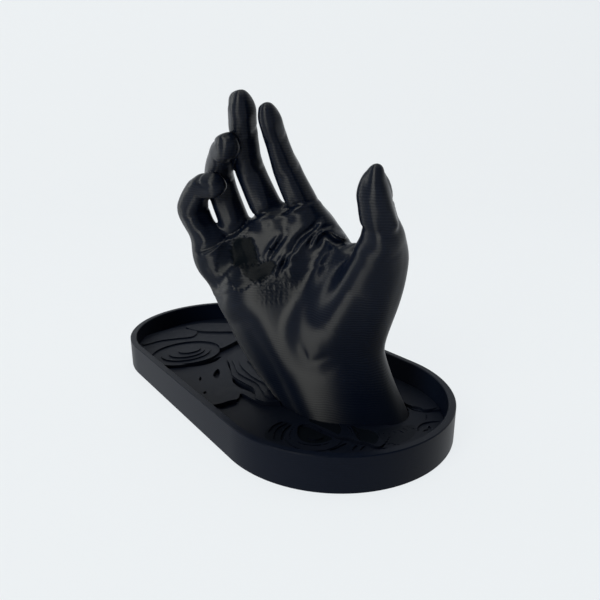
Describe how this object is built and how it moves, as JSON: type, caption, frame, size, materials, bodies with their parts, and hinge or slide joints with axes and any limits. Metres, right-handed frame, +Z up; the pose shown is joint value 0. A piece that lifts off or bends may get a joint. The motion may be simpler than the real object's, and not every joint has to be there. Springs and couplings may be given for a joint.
{
  "type": "hand jewelry stand",
  "caption": "Jewelry stand with an open right hand for rings and bracelets, rising from one end of a long round-ended tray with a stepped wood-grain relief floor.",
  "frame": {"origin": "on the table, under the middle of the tray's outline", "axes": "+X runs along the tray towards the end that carries the hand, +Z is up, and +Y is the tray's far side, away from the side that the palm faces"},
  "size_m": [0.216, 0.11, 0.1478],
  "materials": {
    "black_print": "satin black filament print with fine layer lines",
    "screw_steel": "zinc plated steel",
    "foot_rubber": "matte black rubber"
  },
  "bodies": {
    "root": {"tray": "black_print", "relief_floor": "black_print", "hand": "black_print", "wrist_screw_1": "screw_steel", "wrist_screw_2": "screw_steel", "foot_hand_end_near": "foot_rubber", "foot_hand_end_far": "foot_rubber", "foot_tray_end_near": "foot_rubber", "foot_tray_end_far": "foot_rubber"}
  },
  "joints": []
}
